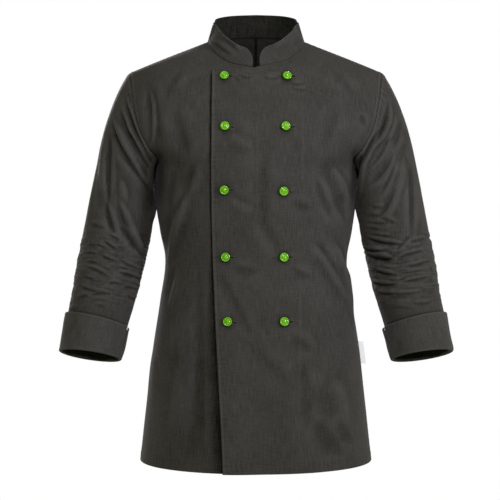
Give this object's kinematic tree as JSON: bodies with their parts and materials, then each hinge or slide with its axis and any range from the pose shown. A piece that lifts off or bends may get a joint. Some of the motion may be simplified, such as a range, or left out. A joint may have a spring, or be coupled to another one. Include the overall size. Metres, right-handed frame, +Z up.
{
  "type": "chef jacket",
  "caption": "Hollow worn-shape double-breasted chef jacket with a stand collar, ten studs and turned-back three-quarter sleeves.",
  "frame": {"origin": "midway between the two neck points of the shoulder seams, where the jacket hangs on the wearer's shoulders", "axes": "+Z up, the wearer faces -Y, the wearer's left side is at +X"},
  "size_m": [0.6964, 0.3015, 0.8119],
  "materials": {
    "charcoal_cotton": "matte cotton twill, garment-dyed charcoal",
    "green_plastic": "glossy moulded plastic",
    "white_tape": "matte woven tape"
  },
  "bodies": {
    "root": {"front_left": "charcoal_cotton", "front_right": "charcoal_cotton", "back_left": "charcoal_cotton", "back_right": "charcoal_cotton", "sleeve_left": "charcoal_cotton", "sleeve_right": "charcoal_cotton", "cuff_left": "charcoal_cotton", "cuff_right": "charcoal_cotton", "collar": "charcoal_cotton", "button_outer_1": "green_plastic", "button_outer_2": "green_plastic", "button_outer_3": "green_plastic", "button_outer_4": "green_plastic", "button_outer_5": "green_plastic", "button_inner_1": "green_plastic", "button_inner_2": "green_plastic", "button_inner_3": "green_plastic", "button_inner_4": "green_plastic", "button_inner_5": "green_plastic", "label_tab": "white_tape"}
  },
  "joints": []
}
